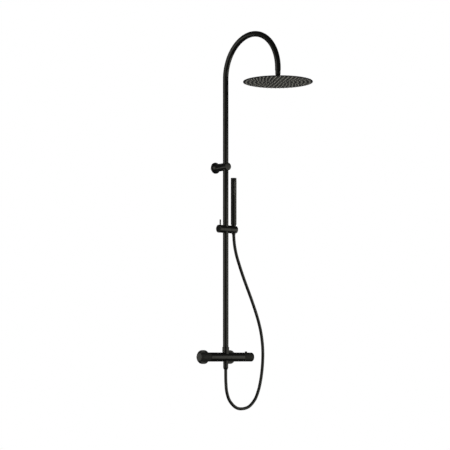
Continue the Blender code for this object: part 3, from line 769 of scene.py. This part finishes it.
def gooseneck():
    """A tube that rises from the bracket, turns over in a half circle and comes down to the head."""
    low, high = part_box("gooseneck")
    reach = (RISER_AT[1] - HEAD_AT[1]) / 2
    centre = Vector((RISER_AT[0], RISER_AT[1] - reach, high.z - TUBE_RADIUS - reach))
    bends, sides = 120, 64
    line = [Vector((*RISER_AT, low.z))]
    for i in range(bends + 1):
        angle = math.pi * i / bends
        line.append(centre + Vector((0.0, reach * math.cos(angle), reach * math.sin(angle))))
    line.append(Vector((*HEAD_AT, ARM_END)))
    outer = circles(line, (1, 0, 0), TUBE_RADIUS, sides)
    inner = circles(line, (1, 0, 0), TUBE_INNER, sides)
    show(loft("gooseneck_fine", outer + inner[::-1], closed=True), "gooseneck")


def flare(profile, per_span):
    """The same turned outline with a smooth curve through its points, in place of straight runs."""
    line = smooth_line([Vector(p).to_3d() for p in profile], per_span)
    return [(p.x, p.y) for p in line]


def bracket():
    """The flared flange on the wall plate, the arm that the riser runs through, and the arm's cap."""
    at, radius = across("bracket_flange", "Y")
    front, back = ends("bracket_flange", "Y")
    arm_radius = across("bracket_arm", "Y")[1]
    stud = 7.8 * MM
    curve = flare(
        [
            (arm_radius, front), (17.7 * MM, -18.5 * MM), (18.8 * MM, -14.5 * MM),
            (20.7 * MM, -10.5 * MM), (23.1 * MM, -7.2 * MM), (radius, -5.5 * MM),
        ],
        per_span=8,
    )
    hollow, hollow_back, hollow_front = radius - 4.5 * MM, -4.0 * MM, -19.0 * MM
    flange = [
        (stud, front), *curve, (radius, back, 0.3 * MM), (hollow, back),
        (hollow, hollow_back), (14.0 * MM, hollow_front), (stud, hollow_front),
    ]
    show(turned("bracket_flange_fine", flange, "Y", at), "bracket_flange")
    low, high = ends("bracket_arm", "Y")
    seat = high - 18 * MM
    profile = [
        (0.0, seat), (stud, seat), (stud, high, 0.2 * MM), (arm_radius, high, 0.4 * MM),
        (arm_radius, low, 0.3 * MM), (0.0, low),
    ]
    arm = turned("bracket_arm_fine", profile, "Y", at)
    span = 30 * MM
    grub_at, grub_radius = across("bracket_grub_screw", "Z")
    cut(
        arm,
        bore(TUBE_RADIUS + 0.2 * MM, at[1] - span, at[1] + span, "Z", RISER_AT),
        bore(grub_radius + 0.3 * MM, at[1] - span, at[1] - 6 * MM, "Z", grub_at),
    )
    show(arm, "bracket_arm")
    cap_radius = across("bracket_cap", "Y")[1]
    cap = disc_profile(cap_radius, *ends("bracket_cap", "Y"), 0.7 * MM)
    show(turned("bracket_cap_fine", cap, "Y", at), "bracket_cap")


def wall_screw():
    """The round plate on the wall with its stud, and the screw that holds it."""
    at, radius = across("bracket_wall_plate", "Y")
    low, high = ends("bracket_wall_plate", "Y")
    stud, inner, hole = 7.5 * MM, 5.3 * MM, 2.8 * MM
    plate_front, screw_seat = high - 3 * MM, low + 7 * MM
    plate = [
        (hole, high), (radius, high, 0.4 * MM), (radius, plate_front, 0.4 * MM),
        (stud, plate_front, 0.8 * MM), (stud, low, 0.4 * MM), (inner, low, 0.2 * MM),
        (inner, screw_seat), (hole, screw_seat),
    ]
    show(turned("bracket_wall_plate_fine", plate, "Y", at), "bracket_wall_plate")
    start, tip = ends("bracket_wall_screw", "Y")
    head = across("bracket_wall_screw", "Y")[1]
    thread, depth, pitch = 2.4 * MM, 0.6 * MM, 2.2 * MM
    head_end, thread_end = start + 2.7 * MM, tip - 6 * MM
    screw = [
        (0.0, start), (head, start, 1.2 * MM), (head, head_end), (thread - depth, head_end),
        *ridged(thread, depth, high, thread_end, pitch), (0.0, tip),
    ]
    show(turned("bracket_wall_screw_fine", screw, "Y", at, SMALL_SIDES), "bracket_wall_screw")


riser()
gooseneck()
bracket()
wall_screw()


# ---------------------------------------------------------------- slider, lock and holder


def slider():
    """The round body across the riser, the bush that it slides on, and the washer of the holder's pivot."""
    centre_z = SLIDER_AT[1]
    radius = across("lock_knob", "X")[1]
    low, high = ends("slider_body", "X")
    span = 30 * MM
    body = turned("slider_body_fine", disc_profile(radius, low, high, 0.4 * MM), "X", SLIDER_AT)
    riser_hole, lock_hole, pivot, head = 14.6 * MM, 4.5 * MM, 4.3 * MM, 6.4 * MM
    inside, head_end, outside = 10 * MM, 16.7 * MM, high + 3 * MM
    pivot_hole = [
        (0.0, inside), (head, inside), (head, head_end), (pivot, head_end), (pivot, outside), (0.0, outside),
    ]
    cut(
        body,
        bore(riser_hole, centre_z - span, centre_z + span, "Z", RISER_AT),
        bore(lock_hole, low - 4 * MM, -inside, "X", SLIDER_AT),
        tool(pivot_hole, "X", SLIDER_AT, CUT_SHIFT),
    )
    show(body, "slider_body")
    bush_radius = across("slider_bush", "Z")[1]
    profile = pipe_profile(TUBE_RADIUS + 0.25 * MM, bush_radius, *ends("slider_bush", "Z"), 0.4 * MM)
    bush = turned("slider_bush_fine", profile, "Z", RISER_AT)
    pad_hole = 4.7 * MM
    cut(bush, bore(pad_hole, -20 * MM, -8 * MM, "X", SLIDER_AT))
    show(bush, "slider_bush")
    washer_radius = across("pivot_washer", "X")[1]
    washer_hole = 4.6 * MM
    washer = pipe_profile(washer_hole, washer_radius, *ends("pivot_washer", "X"), 0.12 * MM)
    show(turned("pivot_washer_fine", washer, "X", SLIDER_AT), "pivot_washer")


def lock():
    """The knob that clamps the slider, and the lever pin that stands on it."""
    at, radius = across("lock_knob", "X")
    low, high = ends("lock_knob", "X")
    screw, screw_end = 4.3 * MM, high - 15.5 * MM
    profile = [
        (0.0, screw_end), (screw, screw_end), (screw, high, 0.2 * MM),
        (radius, high, 0.4 * MM), (radius, low, 1.4 * MM), (0.0, low),
    ]
    knob = turned("lock_knob_fine", profile, "X", at)
    pin_at, pin_radius = across("lever_pin", "Z")
    bottom, top = ends("lever_pin", "Z")
    cut(knob, bore(pin_radius + 0.3 * MM, bottom - 0.5 * MM, at[1] + radius + 5 * MM, "Z", pin_at))
    show(knob, "lock_knob")
    pin = [(0.0, bottom), (pin_radius, bottom, 0.3 * MM), (pin_radius, top, 1.6 * MM), (0.0, top)]
    show(turned("lever_pin_fine", pin, "Z", pin_at, SMALL_SIDES), "lever_pin")


def holder():
    """A cup on the slider's pivot with a tapered hole for the hand shower and a slot for the hose."""
    at, radius = across("holder_cup", "X")
    low, high = ends("holder_cup", "X")
    pivot, pivot_end = 4.2 * MM, low + 12.6 * MM
    profile = [
        (0.0, pivot_end), (pivot, pivot_end), (pivot, low, 0.2 * MM),
        (radius, low, 0.4 * MM), (radius, high, 1.4 * MM), (0.0, high),
    ]
    cup = turned("holder_cup_fine", profile, "X", at)
    span = 25 * MM
    bottom, top = at[1] - span, at[1] + span
    hole, widening = 10.2 * MM, 1.0 * MM / radius * span
    cone = [(0.0, bottom), (hole - widening, bottom), (hole + widening, top), (0.0, top)]
    x, y = HAND_AT
    half, past = 7.6 * MM, 30 * MM
    cut(
        cup,
        turned("cone", cone, "Z", HAND_AT),
        cuboid("slot", (x, y - half, bottom), (x + past, y + half, top)),
    )
    show(cup, "holder_cup")


slider()
lock()
holder()


# ---------------------------------------------------------------- hand shower

IN_FRONT = 20 * MM  # a cutter's front face, well before the stick

NUB_SIDES = 16


def nub(form, place, base, tip, height):
    """One soft nozzle, from its seat at the local origin up to its dimpled tip along local +Z."""
    outline = (  # radius, and height as a share of the whole
        (base, -0.6), (base, 0.0), (base * 0.92, 0.12), (tip * 1.12, 0.82), (tip, 0.97),
        (tip * 0.85, 1.0), (tip * 0.45, 1.0), (tip * 0.35, 0.80),
    )
    rings = []
    for radius, share in outline:
        ring = []
        for k in range(NUB_SIDES):
            angle = 2 * math.pi * k / NUB_SIDES
            point = Vector((radius * math.cos(angle), radius * math.sin(angle), share * height))
            ring.append(form.verts.new(place @ point))
        rings.append(ring)
    for row, after in zip(rings, rings[1:]):
        for k in range(NUB_SIDES):
            form.faces.new((row[k - 1], row[k], after[k], after[k - 1]))
    form.faces.new(rings[0][::-1])
    form.faces.new(rings[-1])


def window_box():
    """The window's lower and upper ends and its half width, from the insert that fills it."""
    low, high = ends("spray_insert", "Z")
    margin, half = 3 * MM, 7.1 * MM
    return low + margin, high - margin, half


def hand_tube():
    """The stick's tube with its window in front, and the cap in its upper end."""
    profile = pipe_profile(HAND_RADIUS - TUBE_WALL, HAND_RADIUS, *ends("hand_tube", "Z"), 0.25 * MM)
    tube = turned("hand_tube_fine", profile, "Z", HAND_AT)
    bottom, top, half = window_box()
    x, y = HAND_AT
    inside = 6 * MM
    cut(tube, cuboid("window", (x - half, y - IN_FRONT, bottom), (x + half, y - inside, top)))
    show(tube, "hand_tube")
    plug_low, lip_high = ends("hand_cap", "Z")
    plug, lip_low = HAND_RADIUS - 1.6 * MM, lip_high - 3.4 * MM
    cap = [
        (0.0, lip_high), (HAND_RADIUS, lip_high, 0.7 * MM), (HAND_RADIUS, lip_low, 0.25 * MM),
        (plug, lip_low), (plug, plug_low, 0.3 * MM), (0.0, plug_low),
    ]
    show(turned("hand_cap_fine", cap, "Z", HAND_AT), "hand_cap")


def spray_insert():
    """The insert whose pad fills the window, and the soft nozzles in rows on it."""
    inner, outer = 8.8 * MM, 11.2 * MM
    profile = pipe_profile(inner, outer, *ends("spray_insert", "Z"), 0.3 * MM)
    insert = turned("spray_insert_fine", profile, "Z", HAND_AT)
    bottom, top, half = window_box()
    gap = 0.15 * MM
    pad_radius = HAND_RADIUS - 0.1 * MM
    pad = turned("pad", disc_profile(pad_radius, bottom + gap, top - gap, 0.3 * MM), "Z", HAND_AT)
    x, y = HAND_AT
    side, inside, past = half - gap, 9.5 * MM, 10 * MM
    front = cuboid("front", (x - side, y - IN_FRONT, bottom - past), (x + side, y - inside, top + past))
    combine(pad, front, "INTERSECT")
    combine(insert, pad, "UNION")
    show(insert, "spray_insert")
    form = bmesh.new()
    rows, pitch = 13, 5.1 * MM
    columns, spread = 4, math.radians(18)
    base, tip, height, sunk = 1.3 * MM, 0.9 * MM, 2.0 * MM, 0.1 * MM
    lay = Matrix.Rotation(math.radians(90), 4, "X") @ Matrix.Translation((0, 0, pad_radius - sunk))
    for row in range(rows):
        centre = Matrix.Translation((x, y, (bottom + top) / 2 + (row - (rows - 1) / 2) * pitch))
        for column in range(columns):
            turn = Matrix.Rotation((column - (columns - 1) / 2) * spread, 4, "Z")
            nub(form, centre @ turn @ lay, base, tip, height)
    nozzles = mesh_object("hand_nozzles", form)
    nozzles.data.materials.append(FINISH["silicone"])
    nozzles.data.shade_smooth()
    nozzles.data.set_sharp_from_angle(angle=math.radians(SOFT_SHARP))
    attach(nozzles, BODY_OF["spray_insert"])


def hose_nuts():
    """The long conical nut under the hand shower, and the short one under the bar."""
    thread, lip, hole = 9.9 * MM, 8.6 * MM, 7.3 * MM
    low, high = ends("hose_nut_upper", "Z")[0], ends("hand_tube", "Z")[0] - SEAM
    radius = across("hose_nut_upper", "Z")[1]
    seat = low + 26.5 * MM
    upper = [
        (thread, high), (radius, high, 0.4 * MM), (lip, low, 0.7 * MM), (hole, low, 0.3 * MM),
        (hole, seat), (thread, seat),
    ]
    show(turned("hose_nut_upper_fine", upper, "Z", HAND_AT), "hose_nut_upper")
    low, high = ends("hose_nut_lower", "Z")[0], ends("valve_body", "Z")[0] - SEAM
    radius = across("hose_nut_lower", "Z")[1]
    seat, cone_top = low + 15.9 * MM, low + 8 * MM
    lower = [
        (thread, high), (radius, high, 0.5 * MM), (radius, cone_top, 3.0 * MM), (lip, low, 0.7 * MM),
        (hole, low, 0.3 * MM), (hole, seat), (thread, seat),
    ]
    show(turned("hose_nut_lower_fine", lower, "Z", RISER_AT), "hose_nut_lower")


hand_tube()
spray_insert()
hose_nuts()


# ---------------------------------------------------------------- rain head


def ball_arc(radius, start, end, steps):
    """Profile corners on a sphere round the head's joint, from one latitude to another in degrees."""
    centre = next(joint for joint in frame["joints"] if joint["name"] == "head_tilt")["pos_m"][2]
    corners = []
    for i in range(steps + 1):
        angle = math.radians(start + (end - start) * i / steps)
        corners.append((radius * math.cos(angle), centre + radius * math.sin(angle)))
    return corners


def neck():
    """The nut under the arm with its socket, and the stem with its ball."""
    ball = across("ball_stem", "Z")[1]
    radius = across("swivel_nut", "Z")[1]
    low, high = ends("swivel_nut", "Z")[0], ARM_END - SEAM
    thread, mouth, play, seat = 9.7 * MM, 8.0 * MM, 0.4 * MM, low + 7 * MM
    mouth_latitude = -35.5
    nut = [
        (thread, high), (radius, high, 0.5 * MM), (radius, low, 0.6 * MM), (mouth, low),
        *ball_arc(ball + play, mouth_latitude, 0.0, 12), (thread, seat),
    ]
    show(turned("swivel_nut_fine", nut, "Z", HEAD_AT), "swivel_nut")
    low = ends("ball_stem", "Z")[0]
    hole, neck_radius, collar, shoulder = 3.5 * MM, 5.8 * MM, 8.5 * MM, low + 8.5 * MM
    hole_latitude, neck_latitude = 67.6, -50.9
    stem = [
        (hole, low), *ball_arc(ball, hole_latitude, neck_latitude, 24), (neck_radius, shoulder, 0.4 * MM),
        (collar, shoulder, 0.5 * MM), (collar, low),
    ]
    show(turned("ball_stem_fine", stem, "Z", HEAD_AT), "ball_stem")
    seal, seal_hole = across("ball_seal", "Z")[1], 8.9 * MM
    ring = pipe_profile(seal_hole, seal, *ends("ball_seal", "Z"), 0.5 * MM)
    show(turned("ball_seal_fine", ring, "Z", HEAD_AT), "ball_seal")


def head_shell():
    """The thin back of the head, domed towards its neck."""
    low, high = ends("head_shell", "Z")
    hole, rim, ceiling = 8.8 * MM, low + 1.3 * MM, high - 10.1 * MM
    boss = [(17.8 * MM, high, 1.0 * MM), (18.4 * MM, high - 7.5 * MM, 1.2 * MM)]
    dome = [
        (21.0 * MM, high - 8.7 * MM, 2.0 * MM), (133.0 * MM, high - 16.0 * MM, 18 * MM),
        (143.0 * MM, rim, 6 * MM), (HEAD_RADIUS, rim, 0.5 * MM),
    ]
    inside = [(142.0 * MM, low), (132.7 * MM, high - 17.3 * MM), (20.0 * MM, ceiling), (hole, ceiling)]
    profile = [(hole, high, 0.2 * MM), *boss, *dome, (HEAD_RADIUS, low, 0.2 * MM), *inside]
    show(turned("head_shell_fine", profile, "Z", HEAD_AT, 2 * SIDES), "head_shell")


NOZZLE_RINGS = 8
NOZZLE_OUTER = 137.5 * MM  # radius of the outer ring
NOZZLE_BASE = 2.7 * MM  # radius of one nozzle
NOZZLE_TIP = 1.6 * MM
NOZZLE_HEIGHT = 3.4 * MM


def nozzle_places():
    """The nozzles' places on the face: one in the middle and rings of 6, 12, 18 and so on."""
    places = [Vector(HEAD_AT)]
    for ring in range(1, NOZZLE_RINGS + 1):
        radius = NOZZLE_OUTER * ring / NOZZLE_RINGS
        for k in range(6 * ring):
            angle = 2 * math.pi * k / (6 * ring)
            places.append(Vector(HEAD_AT) + radius * Vector((math.cos(angle), math.sin(angle))))
    return places


def outline_circle(curve, centre, radius, count):
    """One more closed outline in a flat curve: the plate's edge or a hole in it."""
    spline = curve.splines.new("POLY")
    spline.points.add(count - 1)
    for k, point in enumerate(spline.points):
        angle = 2 * math.pi * k / count
        point.co = (centre[0] + radius * math.cos(angle), centre[1] + radius * math.sin(angle), 0.0, 1.0)
    spline.use_cyclic_u = True


def face_plate():
    """The round face with a hole for each nozzle."""
    low, high = ends("face_plate", "Z")
    edge, play = 0.25 * MM, 0.1 * MM
    plate_sides, hole_sides, sharp = 256, 24, 40
    curve = bpy.data.curves.new("plate_outline", "CURVE")
    curve.dimensions = "2D"
    curve.fill_mode = "BOTH"
    curve.extrude = (high - low) / 2 - edge
    curve.bevel_depth = edge
    curve.bevel_resolution = 2
    outline_circle(curve, HEAD_AT, HEAD_RADIUS - edge, plate_sides)
    for place in nozzle_places():
        outline_circle(curve, place, NOZZLE_BASE + play + edge, hole_sides)
    flat = bpy.data.objects.new("plate_outline", curve)
    bpy.context.scene.collection.objects.link(flat)
    graph = bpy.context.evaluated_depsgraph_get()
    mesh = bpy.data.meshes.new_from_object(flat.evaluated_get(graph))
    bpy.data.objects.remove(flat, do_unlink=True)
    form = bmesh.new()
    form.from_mesh(mesh)
    bmesh.ops.remove_doubles(form, verts=form.verts, dist=MERGE)
    form.transform(Matrix.Translation((0, 0, (low + high) / 2)))
    show(mesh_object("face_plate_fine", form), "face_plate", sharp)


def nozzle_mat():
    """The silicone mat behind the face, with a nozzle through each of its holes."""
    radius = across("nozzle_mat", "Z")[1]
    mat = turned("nozzle_mat_fine", disc_profile(radius, *ends("nozzle_mat", "Z"), 0.3 * MM), "Z", HEAD_AT)
    form = bmesh.new()
    form.from_mesh(mat.data)
    plate_low = ends("face_plate", "Z")[0]
    down = Matrix.Rotation(math.radians(180), 4, "X")
    for place in nozzle_places():
        nub(form, Matrix.Translation((*place, plate_low)) @ down, NOZZLE_BASE, NOZZLE_TIP, NOZZLE_HEIGHT)
    form.to_mesh(mat.data)
    form.free()
    show(mat, "nozzle_mat", SOFT_SHARP)


neck()
head_shell()
face_plate()
nozzle_mat()


# ---------------------------------------------------------------- CAD nodes that stay as they are

for node, obj in frame["nodes"].items():
    obj.data.materials.clear()
    obj.data.materials.append(FINISH[SLOT_OF[node]])


# ---------------------------------------------------------------- floor, light and background

FLOOR_Z = -1.0
FLOOR_RADIUS = 1.8
FLOOR_GLOW = 0.93
WHITE = (1.0, 1.0, 1.0)
WARM = (1.0, 1.0, 0.88)  # of the three soft boxes
# (name, height it aims at, azimuth, elevation, distance, width, height, radiance)
PANELS = (
    ("right_box", 0.6, 32.0, -12.0, 3.0, 5.6, 3.0, 0.88),
    ("left_box", 0.6, -100.0, 2.0, 3.0, 3.6, 3.4, 0.84),
    ("low_box", 0.0, -141.0, 0.0, 3.0, 1.2, 0.9, 0.75),
)
SEEN = 1.0  # strength of the background as the camera sees it
AMBIENT = 0.055  # and as it lights the column


def add_floor():
    """A round floor under the column that shows nearly white and throws no light back on it."""
    form = bmesh.new()
    bmesh.ops.create_circle(form, cap_ends=True, segments=SIDES, radius=FLOOR_RADIUS)
    form.transform(Matrix.Translation((0, 0, FLOOR_Z)))
    floor = mesh_object("floor", form)
    made = Nodes("pale_floor")
    made.colours(made.noise(1.5, 2.0), (0.024, 0.024, 0.024), (0.030, 0.030, 0.030))
    made.shader.inputs["Roughness"].default_value = 0.9
    made.shader.inputs["Specular IOR Level"].default_value = 0.0
    made.shader.inputs["Emission Color"].default_value = (*WHITE, 1.0)
    made.shader.inputs["Emission Strength"].default_value = FLOOR_GLOW
    floor.data.materials.append(made.material)
    floor.visible_glossy = False
    floor.visible_diffuse = False


def add_panel(name, aim, azimuth, elevation, distance, width, height, radiance):
    """A soft box that faces the column at the height `aim`. Azimuth 0 is in front, positive to the right."""
    light = bpy.data.lights.new(name, "AREA")
    light.shape = "RECTANGLE"
    light.size = width
    light.size_y = height
    light.color = WARM
    light.energy = radiance * math.pi * width * height
    panel = bpy.data.objects.new(name, light)
    bpy.context.scene.collection.objects.link(panel)
    turn, lift = math.radians(azimuth), math.radians(elevation)
    away = Vector((math.sin(turn) * math.cos(lift), -math.cos(turn) * math.cos(lift), math.sin(lift)))
    target = COLUMN + Vector((0, 0, aim))
    panel.location = target + away * distance
    panel.rotation_euler = (-away).to_track_quat("-Z", "Y").to_euler()
    panel.visible_camera = False


def add_world():
    """White where the camera sees it, and dim where it lights the column."""
    world = bpy.data.worlds.new("studio")
    world.use_nodes = True
    tree = world.node_tree
    back = tree.nodes["Background"]
    back.inputs["Color"].default_value = (*WHITE, 1.0)
    path = tree.nodes.new("ShaderNodeLightPath")
    level = tree.nodes.new("ShaderNodeMapRange")
    level.inputs["To Min"].default_value = AMBIENT
    level.inputs["To Max"].default_value = SEEN
    tree.links.new(path.outputs["Is Camera Ray"], level.inputs["Value"])
    tree.links.new(level.outputs["Result"], back.inputs["Strength"])
    bpy.context.scene.world = world


add_floor()
for panel in PANELS:
    add_panel(*panel)
add_world()
bpy.context.scene.view_settings.view_transform = "Standard"
